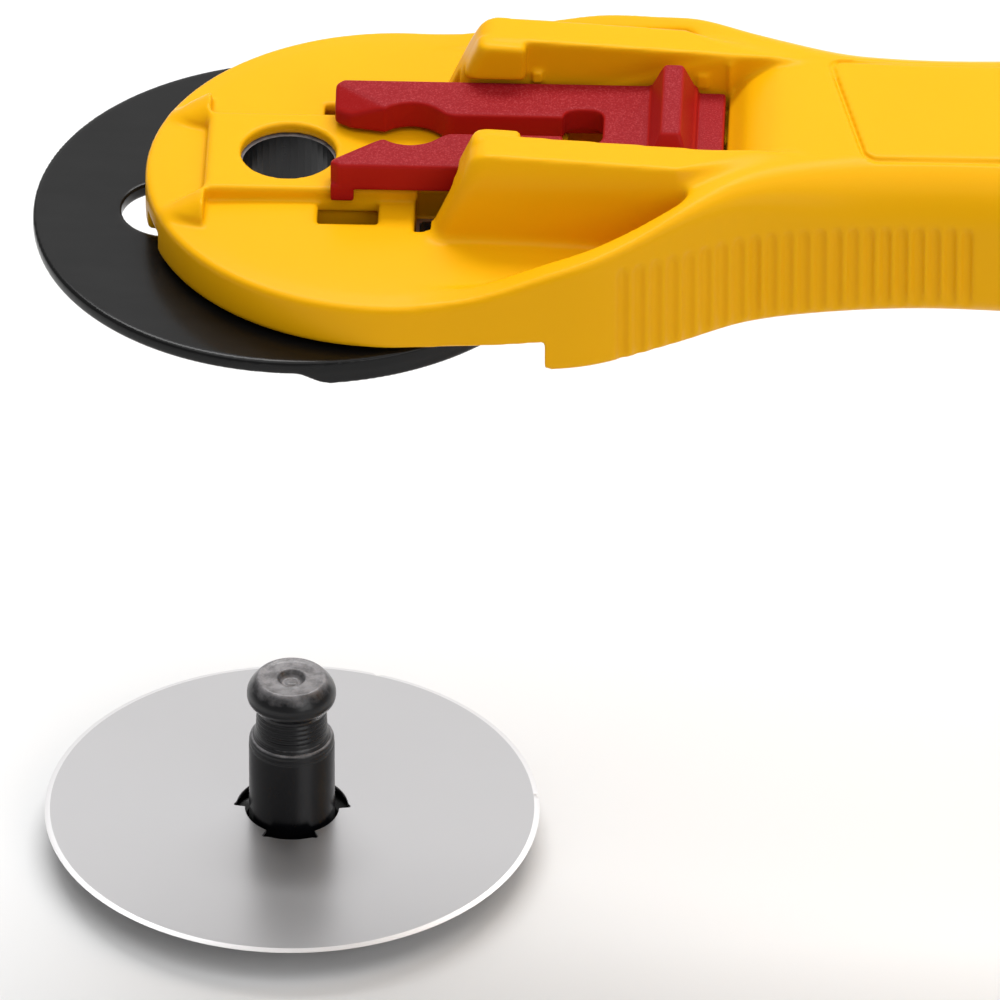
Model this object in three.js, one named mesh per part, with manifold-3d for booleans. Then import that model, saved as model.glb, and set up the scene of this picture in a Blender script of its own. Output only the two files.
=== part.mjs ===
// Rotary cutter with a quick-release blade pin, drawn with the blade and pin dropped out of the head.
// Millimetres, +Z up, handle towards +X. Heights are measured from the flat underside of the head,
// and X and Y from the axis of the blade pin; the whole object is then moved so that the middle of
// the grip is the origin.
import * as THREE from "three";
import { LoftGeometry } from "three/addons/geometries/LoftGeometry.js";
import { mergeVertices } from "three/addons/utils/BufferGeometryUtils.js";
import Module from "manifold-3d";

const wasm = await Module();
wasm.setup();

// ---- driving dimensions ----
const gripCentreX = 100;
const gripCentreZ = 4.4;
const dropHeight = 63.9; // how far below their working place the pin and blade hang
const gap = 0.3; // between parts that touch or slide
const sliver = 0.004; // facets thinner than this are cleaned away

// head of the handle
const headX = 9.5;
const headRadius = 22.3;
const rimHeight = 4.4;
const domeHeight = 4.95;
const trackHeight = 6.2; // top of the raised track under the slider
const trackHalf = 6.1;
const trackFrontX = -7.4;
const headJoinX = 13; // where the round head meets the lofted shoulder
// grip
const handleEndX = 157;
const hangHoleX = 148;
const hangHoleRadius = 3.6;
const stepX = 23.3; // the grip is deeper than the head from here on
// channel and rails that carry the lock slider
const channelHalf = 7.5;
const channelEndX = 39.4;
const railOuter = 12;
const railHeight = 13.6; // at the front end of a rail
const railFall = 0.06; // how much lower its top gets with each millimetre towards the grip
const railFrontX = 16.2;
const railEndX = 43;
const bossHalf = 6.3;
// lock slider
const sliderFrontX = 4;
const lockTravel = 10.9;
const sliderRearX = 38.9;
const sliderHalf = 6.85;
const slabBottom = 6.6;
const slabTop = 9.4;
const forkX = lockTravel; // the fork closes on the pin at the end of its travel
const forkRadius = 3.35;
const lipTop = 12.6;
// guard
const guardX = 1.2;
const guardRadius = 24.1;
const guardTop = -0.3;
const guardBottom = -1.6;
const guardSkirtBottom = -2.7;
const guardTravel = 9;
const lugX = 13.6;
const lugY = 8.3;
const lugLength = 3;
const lugWidth = 2;
const clipWidth = 3.6;
// leaf springs: where each one starts and ends, its click and its rivet
const lockLeaf = { front: 28.3, rear: 38.7, half: 2.1, level: 5.8, click: 31.5, clickHeight: 0.7, rivet: 37 };
const guardLeaf = {
  front: 12.5, rear: 25.7, half: 1.9, level: 0.75, click: 16, clickHeight: -0.65, rivet: 23.6,
};
const leafThickness = 0.3;
const rivetShank = 0.9;
const rivetHead = 1.7;
const rivetHeadHeight = 0.3;
const rivetRoom = 0.2;
// blade
const bladeRadius = 22.5;
const bladeThickness = 0.3;
const bladeTop = -1.9;
const bevelWidth = 0.5;
const bladeHoleRadius = 4.25;
const lobeRadius = 5.1;
// pin
const pinRadius = 3.9;
const boreRadius = 4.15;
const bushingWall = 0.8;
const neckRadius = 3.15;
const capRadius = 8.5;

// ---- solids from three.js geometry ----
const solid = (geometry) => {
  const bare = new THREE.BufferGeometry().copy(geometry);
  bare.deleteAttribute("normal");
  bare.deleteAttribute("uv");
  const merged = mergeVertices(bare, 1e-4);
  return new wasm.Manifold(
    new wasm.Mesh({
      numProp: 3,
      vertProperties: merged.attributes.position.array,
      triVerts: new Uint32Array(merged.index.array),
    }),
  );
};

const geometryOf = (body) => {
  const mesh = body.simplify(sliver).getMesh();
  const geometry = new THREE.BufferGeometry();
  geometry.setAttribute("position", new THREE.BufferAttribute(new Float32Array(mesh.vertProperties), 3));
  geometry.setIndex(new THREE.BufferAttribute(new Uint32Array(mesh.triVerts), 1));
  geometry.computeVertexNormals();
  return geometry;
};

const joined = (bodies) => bodies.reduce((all, body) => all.add(body));

// A box between two corners.
const box = (x0, x1, y0, y1, z0, z1) => {
  const geometry = new THREE.BoxGeometry(x1 - x0, y1 - y0, z1 - z0);
  return solid(geometry.translate((x0 + x1) / 2, (y0 + y1) / 2, (z0 + z1) / 2));
};

// An upright cylinder or cone frustum.
const post = (x, y, z0, z1, radiusLow, radiusHigh = radiusLow, segments = 32) => {
  const geometry = new THREE.CylinderGeometry(radiusHigh, radiusLow, z1 - z0, segments);
  return solid(geometry.rotateX(Math.PI / 2).translate(x, y, (z0 + z1) / 2));
};

// A plan outline raised from z0 to z1.
const plate = (shape, z0, z1, segments = 10) => {
  const geometry = new THREE.ExtrudeGeometry(shape, {
    depth: z1 - z0,
    bevelEnabled: false,
    curveSegments: segments,
  });
  return solid(geometry.translate(0, 0, z0));
};

// A side outline, drawn in X and Z, carried across from y0 to y1.
const across = (shape, y0, y1, segments = 10) => {
  const geometry = new THREE.ExtrudeGeometry(shape, {
    depth: y1 - y0,
    bevelEnabled: false,
    curveSegments: segments,
  });
  return solid(geometry.rotateX(Math.PI / 2).translate(0, y1, 0));
};

const polygon = (points) => new THREE.Shape(points.map(([x, y]) => new THREE.Vector2(x, y)));

// A turned body about the vertical through (x, y); the profile lists radius and height.
const turned = (profile, segments = 48, x = 0, y = 0) => {
  const geometry = new THREE.LatheGeometry(
    profile.map(([radius, height]) => new THREE.Vector2(radius, height)),
    segments,
  );
  return solid(geometry.rotateX(Math.PI / 2).translate(x, y, 0));
};

// A slot with round ends along X.
const slotShape = (x0, x1, radius) => {
  const shape = new THREE.Shape();
  shape.absarc(x1, 0, radius, -Math.PI / 2, Math.PI / 2);
  shape.absarc(x0, 0, radius, Math.PI / 2, (3 * Math.PI) / 2);
  return shape;
};

const roundedRectangle = (x0, x1, y0, y1, radius) => {
  const shape = new THREE.Shape();
  shape.absarc(x1 - radius, y0 + radius, radius, -Math.PI / 2, 0);
  shape.absarc(x1 - radius, y1 - radius, radius, 0, Math.PI / 2);
  shape.absarc(x0 + radius, y1 - radius, radius, Math.PI / 2, Math.PI);
  shape.absarc(x0 + radius, y0 + radius, radius, Math.PI, (3 * Math.PI) / 2);
  return shape;
};

const mirrored = (body) => body.add(body.mirror([0, 1, 0]));

// A smooth curve through a few stations, read back as a value for any x.
const curveThrough = (stations) => (x) => {
  const last = stations.length - 1;
  const slope = (i) => {
    const before = stations[Math.max(i - 1, 0)];
    const after = stations[Math.min(i + 1, last)];
    return (after[1] - before[1]) / (after[0] - before[0]);
  };
  let i = 0;
  while (i < last - 1 && x > stations[i + 1][0]) i += 1;
  const [x0, v0] = stations[i];
  const [x1, v1] = stations[i + 1];
  const span = x1 - x0;
  const t = Math.min(Math.max((x - x0) / span, 0), 1);
  const rise = t * t * (3 - 2 * t);
  const lead = t * (1 - t) * (1 - t) * span * slope(i);
  const trail = t * t * (t - 1) * span * slope(i + 1);
  return v0 + (v1 - v0) * rise + lead + trail;
};

// ---- the outer form of the shoulder and grip ----
const halfWidth = curveThrough([
  [9, 21.9], [13, 21.9], [18, 21.7], [23, 21.05], [28, 20.05], [35, 16.75], [41.5, 13.5], [50, 12],
  [60, 11.7], [80, 12.9], [102, 14.6], [125, 14.2], [145, 12.6], [158, 12.2],
]);
const topHeight = curveThrough([
  [9, 4.4], [12, 4.4], [17, 5.1], [24, 7.2], [31.5, 9.4], [37, 11.3], [42, 12], [50, 11.8], [65, 11.8],
  [102, 12.6], [130, 11.8], [158, 9.6],
]);
const bottomHeight = curveThrough([[9, -3], [60, -3], [102, -3.6], [130, -3], [158, -1.4]]);
const topRounding = curveThrough([
  [9, 0.5], [24, 0.7], [34, 1.2], [44, 3.6], [52, 5], [102, 5.6], [158, 4.5],
]);
const bottomRounding = curveThrough([[9, 1], [30, 1.2], [44, 2.6], [60, 3.4], [158, 3.4]]);

// One closed section of the grip; shrink below 1 draws it in towards the rounded end.
const section = (x, shrink = 1) => {
  const cornerSteps = 5;
  const middle = (topHeight(x) + bottomHeight(x)) / 2;
  const half = halfWidth(x) * shrink;
  const roundEnd = 0.35 + 0.65 * shrink;
  const up = (topHeight(x) - middle) * roundEnd;
  const down = (bottomHeight(x) - middle) * roundEnd;
  const corners = [
    [1, up, Math.min(topRounding(x), half, up) * 0.98, 0],
    [-1, up, Math.min(topRounding(x), half, up) * 0.98, 1],
    [-1, down, Math.min(bottomRounding(x), half, -down) * 0.98, 2],
    [1, down, Math.min(bottomRounding(x), half, -down) * 0.98, 3],
  ];
  const points = [];
  for (const [side, edge, radius, quarter] of corners) {
    const centreY = side * (half - radius);
    const centreZ = middle + edge - Math.sign(edge) * radius;
    for (let step = 0; step <= cornerSteps; step += 1) {
      const angle = ((quarter + step / cornerSteps) * Math.PI) / 2;
      const y = centreY + radius * Math.cos(angle);
      points.push(new THREE.Vector3(x, y, centreZ + radius * Math.sin(angle)));
    }
  }
  return points;
};

const gripForm = () => {
  const endStartX = 146;
  const sections = [];
  for (let x = headJoinX; x < 52; x += 1.75) sections.push(section(x));
  for (let x = 52; x < endStartX; x += 7) sections.push(section(x));
  const endLength = handleEndX - endStartX;
  const endSteps = 6;
  for (let step = 0; step <= endSteps; step += 1) {
    const along = Math.sin(((step / endSteps) * 0.98 * Math.PI) / 2);
    const shrink = Math.pow(1 - Math.pow(along, 2.2), 1 / 2.2);
    sections.push(section(endStartX + endLength * along, shrink));
  }
  return solid(new LoftGeometry(sections, { capStart: true, capEnd: true }));
};

// ---- handle body ----
const headDisc = () => {
  const edge = 0.5;
  const profile = [
    [0, 0], [headRadius - 0.4, 0], [headRadius, 0.4], [headRadius, rimHeight - edge],
    [headRadius - 0.15, rimHeight - 0.15], [headRadius - edge, rimHeight], [20, 4.6], [17, 4.78],
    [13, 4.9], [8, domeHeight], [0, domeHeight],
  ];
  return turned(profile, 80, headX);
};

// The pocket on each side between the rail and the rising rim of the shoulder.
const sidePocket = () => {
  const bandWidth = 2.7;
  const frontX = headJoinX - 2;
  const rearX = 37.5;
  const top = 15;
  const plan = new THREE.Shape();
  plan.moveTo(frontX, railOuter);
  plan.lineTo(rearX, railOuter);
  for (let x = rearX - 1; x > frontX; x -= 2.5) {
    plan.lineTo(x, Math.max(halfWidth(x) - bandWidth, railOuter + 0.4));
  }
  plan.lineTo(frontX, halfWidth(headJoinX) - bandWidth);
  const side = new THREE.Shape();
  side.moveTo(frontX, rimHeight);
  side.lineTo(31, rimHeight);
  side.quadraticCurveTo(36, 5.4, rearX + 0.5, top);
  side.lineTo(frontX, top);
  return mirrored(plate(plan, rimHeight, top).intersect(across(side, 0, 25)));
};

// The channel for the slider, with its concave run-out onto the top of the grip.
const channel = () => {
  const frontX = headJoinX - 4;
  const rampEndX = 48;
  const top = 16;
  const side = new THREE.Shape();
  side.moveTo(frontX, trackHeight);
  side.lineTo(channelEndX, trackHeight);
  side.lineTo(channelEndX + 0.3, 8.6);
  side.quadraticCurveTo(41.8, 11.5, rampEndX, 12.2);
  side.lineTo(rampEndX, top);
  side.lineTo(frontX, top);
  return across(side, -channelHalf, channelHalf);
};

// The raised track the slider runs on, and the two ramps in front of its corners.
const track = () => {
  const base = 3;
  const side = new THREE.Shape();
  side.moveTo(trackFrontX - 0.5, base);
  side.lineTo(trackFrontX - 0.5, domeHeight - 0.3);
  side.quadraticCurveTo(trackFrontX, trackHeight, trackFrontX + 0.7, trackHeight);
  side.lineTo(channelEndX, trackHeight);
  side.lineTo(channelEndX, base);
  const strip = across(side, -trackHalf, trackHalf, 4);
  const rear = box(headJoinX - 0.5, channelEndX + 1, -channelHalf - 1, channelHalf + 1, base, trackHeight);
  const rampY = 7.6;
  const ramp = (x, halfBase, halfTop, top) =>
    [[halfBase, 4], [halfTop, top], [-halfTop, top], [-halfBase, 4]].map(
      ([y, z]) => new THREE.Vector3(x, rampY + y, z),
    );
  const ends = [ramp(-10.8, 1.2, 1, 4.3), ramp(-7.2, 2.4, 1.6, 6.5)];
  const bump = solid(new LoftGeometry(ends, { capStart: true, capEnd: true }));
  return strip.add(rear).add(mirrored(bump));
};

// A rail with a sloped front, a chamfered outer edge and a boss that overhangs the slider.
const rail = () => {
  const base = 3;
  const topFrontX = railFrontX + 1.6;
  const railTop = (x) => railHeight - railFall * (x - topFrontX);
  const side = new THREE.Shape();
  side.moveTo(railFrontX - 3.6, base);
  side.quadraticCurveTo(railFrontX - 2.6, 5, railFrontX, railHeight - 1.2);
  side.quadraticCurveTo(railFrontX + 0.4, railHeight, topFrontX, railHeight);
  side.lineTo(railEndX, railTop(railEndX));
  side.lineTo(railEndX, base);
  const wall = across(side, channelHalf, railOuter);
  // the chamfer grows towards the grip, whose edges are rounder
  const wedge = (x, wide, deep) => [
    new THREE.Vector3(x, railOuter - 2 * wide, railTop(x) + deep),
    new THREE.Vector3(x, railOuter + wide, railTop(x) - 2 * deep),
    new THREE.Vector3(x, railOuter + 2 + wide, railTop(x) + 2 + deep),
  ];
  const wedges = [wedge(10, 0.8, 1.8), wedge(30, 0.8, 1.8), wedge(50, 5, 4.6)];
  const chamfer = solid(new LoftGeometry(wedges, { capStart: true, capEnd: true }));
  const bossPlan = roundedRectangle(railFrontX - 1.6, 21, bossHalf, channelHalf + 0.8, 0.4);
  const boss = plate(bossPlan, slabTop + gap, railHeight, 4).intersect(across(side, 0, railOuter));
  const tab = (x) => box(x, x + 0.9, 7.15, channelHalf + 0.5, slabTop - 0.4, slabTop + 0.8);
  return mirrored(joined([wall.subtract(chamfer), boss, tab(21.5), tab(36.4)]));
};

// Windows beside the track: an open one at the front and a slot each side for the guard's lug.
// Both are wider below than above, which keeps the walls of the head even.
const guideSlots = () => {
  const below = -4;
  const above = 10;
  const window = box(2.9, 8.3, 6.2, 9.4, below, above);
  const undercut = box(1.9, 9.3, 5.8, 10.6, below, 3.9);
  const slotFront = lugX - lugLength / 2 - 0.5;
  const slotRear = lugX + lugLength / 2 + guardTravel + 0.5;
  const slotHalf = lugWidth / 2 + gap;
  const slot = box(slotFront, slotRear, lugY - slotHalf, lugY + slotHalf, below, 2.6);
  const roomHalf = clipWidth / 2 + gap;
  const room = box(slotFront, slotRear, lugY - 2 * roomHalf + 0.5, lugY + roomHalf, 2.4, 5);
  const daylight = box(slotFront + 0.2, railFrontX - 1.2, 5, 9.2, 2, above);
  return mirrored(joined([window, undercut, slot, room, daylight]));
};

// Grooves down both sides of the waist, from the lower edge to a little above the middle.
const sideGrooves = () => {
  const count = 22;
  const firstX = 30.4;
  const pitch = 1.45;
  const grooveRadius = 0.5;
  const grooveDepth = 0.38;
  const low = -5;
  const high = 6.6;
  const cutters = [];
  for (let i = 0; i < count; i += 1) {
    const x = firstX + pitch * i;
    const y = halfWidth(x) + grooveRadius - grooveDepth;
    cutters.push(post(x, y, low, high, grooveRadius, grooveRadius, 6));
  }
  return mirrored(joined(cutters));
};

// Line round the flat panel on top of the grip; its front edge is slanted.
const panelLine = () => {
  const lineHalf = 0.25;
  const lineDepth = 0.3;
  const frontX = 48.1;
  const rearX = 92;
  const slant = 3.3;
  const outline = (grow) => {
    const half = 7.8 + grow;
    const shape = new THREE.Shape();
    shape.moveTo(frontX - grow, half);
    shape.lineTo(frontX + slant - grow, -half + 1.2);
    shape.quadraticCurveTo(frontX + slant + 0.3 - grow, -half, frontX + slant + 1.6, -half);
    shape.lineTo(rearX + grow, -half);
    shape.lineTo(rearX + grow, half);
    return shape;
  };
  const line = plate(outline(lineHalf), 8, 16).subtract(plate(outline(-lineHalf), 7, 17));
  const surface = gripForm().subtract(gripForm().translate([0, 0, -lineDepth]));
  return line.intersect(surface);
};

// The cover under the grip and the places of its screws.
const screwXs = [45, 76, 106, 134];
const coverStartX = 41;
const coverEndX = 141;
const coverInset = 3.2;
const wallThickness = 1.6;
const coverHalf = (x, inset) => halfWidth(x) - coverInset - inset;

const coverOutline = (inset) => {
  const shape = new THREE.Shape();
  const x0 = coverStartX + inset;
  const x1 = coverEndX - inset;
  const steps = 14;
  const near = [];
  for (let i = 0; i <= steps; i += 1) {
    const x = x0 + ((x1 - x0) * i) / steps;
    near.push([x, coverHalf(x, inset)]);
  }
  near.forEach(([x, y], i) => (i ? shape.lineTo(x, -y) : shape.moveTo(x, -y)));
  near.reverse().forEach(([x, y]) => shape.lineTo(x, y));
  return shape;
};

// Room under the head for the guard over the whole of its travel.
const guardSweep = () => {
  const radius = guardRadius + 0.4;
  return joined([
    post(guardX, 0, -10, 0, radius, radius, 96),
    post(guardX + guardTravel, 0, -10, 0, radius, radius, 96),
    box(guardX, guardX + guardTravel, -guardRadius, guardRadius, -10, 0),
  ]);
};

// Seats in the channel floor and under the head for the two leaf springs and their rivets.
const springSeats = () => {
  const seat = ({ front, rear, half }, low, high) =>
    box(front - gap, rear + gap, -half - gap, half + gap, low, high);
  const lockSeat = seat(lockLeaf, trackHeight - 0.7, trackHeight + 1);
  const guardSeat = seat(guardLeaf, -4, 1.3);
  const holeRadius = rivetShank + rivetRoom;
  const lockHole = post(lockLeaf.rivet, 0, 2.5, 7, holeRadius, holeRadius, 20);
  const guardHole = post(guardLeaf.rivet, 0, -1, 4, holeRadius, holeRadius, 20);
  return joined([lockSeat, guardSeat, lockHole, guardHole]);
};

const handleBody = () => {
  const headCut = box(-20, headJoinX, -30, 30, -10, 20);
  const shoulder = gripForm().subtract(box(-20, stepX, -30, 30, -10, 0)).subtract(sidePocket());
  const disc = headDisc();
  const discInGrip = box(31, 60, -30, 30, -10, 20);
  const whole = joined([shoulder, disc.intersect(headCut), disc.subtract(discInGrip)]);
  const lowerNotches = mirrored(box(-14, -9.5, 4.2, 7.6, -1, 2.1));
  const hollow = plate(coverOutline(wallThickness), -20, 9.4);
  const coverSeat = plate(coverOutline(0), -20, -0.4);
  const screwBosses = joined(screwXs.map((x) => post(x, 0, 0, 10, 3.4, 3.4, 24)));
  const pilotHoles = joined(screwXs.map((x) => post(x, 0, -1, 7.2, 1.35, 1.35, 16)));
  const hangHole = post(hangHoleX, 0, -10, 20, hangHoleRadius, hangHoleRadius, 32);
  const hangFlare = post(hangHoleX, 0, 9.3, 13, hangHoleRadius - 0.6, hangHoleRadius + 2.6, 32);
  const boreRoom = boreRadius + bushingWall + 0.1;
  const bore = post(0, 0, -5, 5.2, boreRoom, boreRoom, 48);
  const boreMouth = post(0, 0, 5, 7, boreRadius + 0.1, boreRadius + 0.1, 48);
  // a deep recess below the D-shaped hole of the slider
  const recess = box(24.9, 28.4, -5.6, 5.6, 2.6, trackHeight + 1);
  const topped = whole.subtract(channel()).add(rail()).add(track());
  const opened = topped.subtract(joined([guardSweep(), lowerNotches, hollow, coverSeat])).add(screwBosses);
  const holes = joined([pilotHoles, hangHole, hangFlare, bore, boreMouth, recess, guideSlots()]);
  const relief = joined([sideGrooves(), panelLine()]);
  return opened.subtract(holes).subtract(relief).subtract(springSeats());
};

// ---- lock slider ----
// An inclined facet on each prong, which leads the pin into the fork.
const leadInFacets = () => {
  const a = new THREE.Vector3(8.6, 2.5, slabTop);
  const b = new THREE.Vector3(4.2, 6.2, slabTop);
  const c = new THREE.Vector3(3.9, 3.2, slabTop - 2);
  const normal = b.clone().sub(a).cross(c.clone().sub(a)).normalize();
  if (normal.z < 0) normal.negate();
  const facet = new THREE.BoxGeometry(16, 16, 8).translate(0, 0, 4);
  facet.applyQuaternion(new THREE.Quaternion().setFromUnitVectors(new THREE.Vector3(0, 0, 1), normal));
  facet.translate(a.x, a.y, a.z);
  return mirrored(solid(facet).intersect(box(2, 10, 0, sliderHalf + 1, 0, 20)));
};

// The raised ridge for the fingertip, with sloped faces and slanted ends.
const fingerLip = () => {
  const frontX = 32;
  const rearX = 36.4;
  const side = polygon([
    [frontX, slabTop - 0.5], [frontX + 1.4, lipTop], [rearX - 1.2, lipTop], [rearX - 0.2, slabTop - 0.2],
    [rearX, slabTop - 1.2], [rearX, slabTop - 2], [frontX, slabTop - 2],
  ]);
  const slant = new THREE.BoxGeometry(10, 4, 10).translate(0, 2, 0);
  slant.rotateX(0.42).translate((frontX + rearX) / 2, 5.4, slabTop + 1.4);
  return across(side, -sliderHalf, sliderHalf).subtract(mirrored(solid(slant)));
};

// The hole at the rear end of the relief slot: round towards the fork, square towards the grip.
const dHole = () => {
  const frontRadius = 1.6;
  const rearRadius = 0.7;
  const half = 2.7;
  const shape = new THREE.Shape();
  shape.absarc(25.9, half - frontRadius, frontRadius, Math.PI / 2, Math.PI);
  shape.absarc(25.9, frontRadius - half, frontRadius, Math.PI, (3 * Math.PI) / 2);
  shape.absarc(27.4, rearRadius - half, rearRadius, -Math.PI / 2, 0);
  shape.absarc(27.4, half - rearRadius, rearRadius, 0, Math.PI / 2);
  return plate(shape, 0, 20, 6);
};

const lockSlider = () => {
  const cornerCut = 0.7;
  const outline = polygon([
    [sliderRearX, -sliderHalf], [sliderRearX, sliderHalf], [sliderFrontX + cornerCut, sliderHalf],
    [sliderFrontX, sliderHalf - cornerCut], [sliderFrontX, cornerCut - sliderHalf],
    [sliderFrontX + cornerCut, -sliderHalf],
  ]);
  const mouth = polygon([
    [3, -4.6], [5.4, -3], [8.6, -2.4], [12, -1], [12, 1], [8.6, 2.4], [5.4, 3], [3, 4.6],
  ]);
  const fork = post(forkX, 0, 0, 20, forkRadius, forkRadius, 40);
  const reliefSlot = box(12, 26, -1.45, 1.45, 0, 20);
  const footRear = sliderFrontX + 2.1;
  const foot = mirrored(box(sliderFrontX, footRear, trackHalf + 0.2, sliderHalf, 5.4, slabBottom + 0.5));
  const rearStep = box(36.4, 40, -8, 8, slabTop - 0.7, 20);
  const underRelief = box(22, 45, -2.8, 2.8, 0, slabBottom + 0.5);
  const body = plate(outline, slabBottom, slabTop).subtract(rearStep).add(foot).add(fingerLip());
  return body.subtract(joined([leadInFacets(), plate(mouth, 0, 20), fork, reliefSlot, dHole(), underRelief]));
};

// ---- leaf springs, which click under the slider and over the guard, and their rivets ----
const leafSpring = ({ front, rear, half, level, click, clickHeight, rivet }) => {
  const under = [[front, 0], [click - 2, 0], [click, clickHeight], [click + 2, 0], [rear, 0]];
  const over = under.map(([x, z]) => [x, z + leafThickness]).reverse();
  const strip = across(polygon([...under, ...over]), -half, half).translate([0, 0, level]);
  const holeRadius = rivetShank + rivetRoom + 0.05;
  return strip.subtract(post(rivet, 0, level - 3, level + 3, holeRadius));
};

const leafRivet = (x, low, high, headLow) =>
  post(x, 0, low, high, rivetShank, rivetShank, 20).add(
    post(x, 0, headLow, headLow + rivetHeadHeight, rivetHead, rivetHead, 20),
  );

// ---- guard ----
const guardPlate = () => {
  const skirtInner = 22.9;
  const skirtFrontX = 2.5;
  const disc = post(guardX, 0, guardBottom, guardTop, guardRadius, guardRadius, 80);
  const outer = post(guardX, 0, guardSkirtBottom, guardBottom + 0.1, guardRadius, guardRadius, 80);
  const inner = post(guardX, 0, -9, 0, skirtInner, skirtInner, 80);
  const skirt = outer.subtract(inner).intersect(box(skirtFrontX, 40, -30, 30, -9, 0));
  const pinSlot = plate(slotShape(-10.7, 0.3, 4.25), -9, 5, 16);
  const lugX0 = lugX - lugLength / 2;
  const lugY0 = lugY - lugWidth / 2;
  const lug = mirrored(box(lugX0, lugX0 + lugLength, lugY0, lugY0 + lugWidth, -1, 3.9));
  const notch = (x) => {
    const half = 1.6;
    const bottom = guardTop - 0.4;
    const side = [[x - half, 1], [x - half, guardTop], [x, bottom], [x + half, guardTop], [x + half, 1]];
    return across(polygon(side), -3, 3);
  };
  const cuts = joined([pinSlot, notch(guardLeaf.click), notch(guardLeaf.click - guardTravel)]);
  return disc.add(skirt).subtract(cuts).add(lug);
};

// A small square clip that keeps one lug of the guard up in the head.
const guardClip = (side) => {
  const y = side * lugY;
  const half = clipWidth / 2;
  const wall = 0.7;
  const outer = box(lugX - 1.9, lugX + 1.9, y - half, y + half, 2.8, 3.5);
  const hole = box(lugX - 1.6, lugX + 1.6, y - half + wall, y + half - wall, 2, 4);
  return outer.subtract(hole);
};

// ---- blade ----
const bladeHole = () => {
  const shape = new THREE.Shape();
  const lobeHalfAngle = (30 * Math.PI) / 180;
  const barb = (5 * Math.PI) / 180;
  for (let i = 0; i < 3; i += 1) {
    const middle = ((-90 + 120 * i) * Math.PI) / 180;
    const nextMiddle = middle + (2 * Math.PI) / 3;
    shape.absarc(0, 0, lobeRadius, middle - lobeHalfAngle, middle + lobeHalfAngle);
    shape.absarc(0, 0, bladeHoleRadius, middle + lobeHalfAngle - barb, nextMiddle - lobeHalfAngle + barb);
  }
  return shape;
};

const blade = () => {
  const bottom = bladeTop - bladeThickness;
  const edge = (bladeTop + bottom) / 2;
  const inner = bladeRadius - bevelWidth;
  const profile = [[0, bottom], [inner, bottom], [bladeRadius, edge], [inner, bladeTop], [0, bladeTop]];
  return turned(profile, 96).subtract(plate(bladeHole(), -9, 9, 8));
};

// ---- pin ----
const pinStud = () => {
  const top = 12.5;
  const foot = [
    [0, -4], [2.6, -4], [2.6, -3.45], [pinRadius - 0.3, -3.45], [pinRadius, -3.2], [pinRadius, 5.9],
    [pinRadius - 0.2, 6.2], [pinRadius - 0.4, 6.3], [neckRadius + 0.25, 6.5], [neckRadius + 0.1, 6.8],
  ];
  const neck = [];
  for (let i = 0; i < 5; i += 1) {
    const z = 7 + 0.5 * i;
    neck.push([neckRadius - 0.08, z], [neckRadius + 0.05, z + 0.25]);
  }
  const knob = [
    [neckRadius, 9.5], [3.7, 10], [4.05, 10.6], [4.05, 11.1], [3.7, 11.8], [3.1, top], [2.8, top],
    [2.6, top - 0.1], [1.4, top - 0.05], [1.1, top - 0.35], [0.6, top - 0.6], [0, top - 0.6],
  ];
  return turned([...foot, ...neck, ...knob], 36);
};

const pinCap = () => {
  const low = -5.2;
  const high = -2.55;
  const wellRadius = 2.75;
  return turned(
    [
      [0, low], [7.4, low], [capRadius - 0.3, low + 0.3], [capRadius, low + 0.8], [capRadius, high - 0.35],
      [capRadius - 0.3, high], [7.4, high], [7.4, -3.2], [4.2, -3.2], [4.2, -3.75], [wellRadius, -3.75],
      [wellRadius, -4.3], [0, -4.3],
    ],
    40,
  );
};

const ring = (inner, outer, low, high, segments = 40) =>
  turned([[inner, low], [outer, low], [outer, high], [inner, high], [inner, low]], segments);

// ---- base cover and its screws ----
const baseCover = () => {
  const shell = plate(coverOutline(gap), -9, -0.7);
  const flush = gripForm().intersect(shell);
  const screwHoles = joined(screwXs.map((x) => post(x, 0, -9, 3, 1.9, 1.9, 20)));
  const screwSeats = joined(screwXs.map((x) => post(x, 0, -9, -1.7, 3.1, 3.1, 24)));
  const labelSeat = box(83, 99, -7, 7, -9, -3.1);
  return flush.subtract(joined([screwHoles, screwSeats, labelSeat]));
};

const coverScrew = (x) => {
  const headLow = -3;
  const slotHalf = 0.35;
  const slotLong = 1.5;
  const slotTop = headLow + 0.5;
  const alongX = box(x - slotLong, x + slotLong, -slotHalf, slotHalf, -9, slotTop);
  const alongY = box(x - slotHalf, x + slotHalf, -slotLong, slotLong, -9, slotTop);
  const head = post(x, 0, headLow, -1.95, 2.8, 2.8, 24);
  const shank = post(x, 0, -2, 6.2, 1.15, 1.15, 20);
  return head.add(shank).subtract(alongX.add(alongY));
};

// ---- the assembly ----
const colours = {
  yellow: 0xf6c32a,
  red: 0xb5262b,
  black: 0x2b2b2d,
  steel: 0xd2d1d2,
  spring: 0xa9a9ad,
};
const group = new THREE.Group();
const add = (name, body, colour, z = 0) => {
  const metal = colour === colours.steel || colour === colours.spring;
  const material = new THREE.MeshStandardMaterial({
    color: colour,
    roughness: metal ? 0.35 : 0.5,
    metalness: metal ? 1 : 0,
  });
  const mesh = new THREE.Mesh(geometryOf(body), material);
  mesh.name = name;
  mesh.position.set(0, 0, z);
  group.add(mesh);
};

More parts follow.
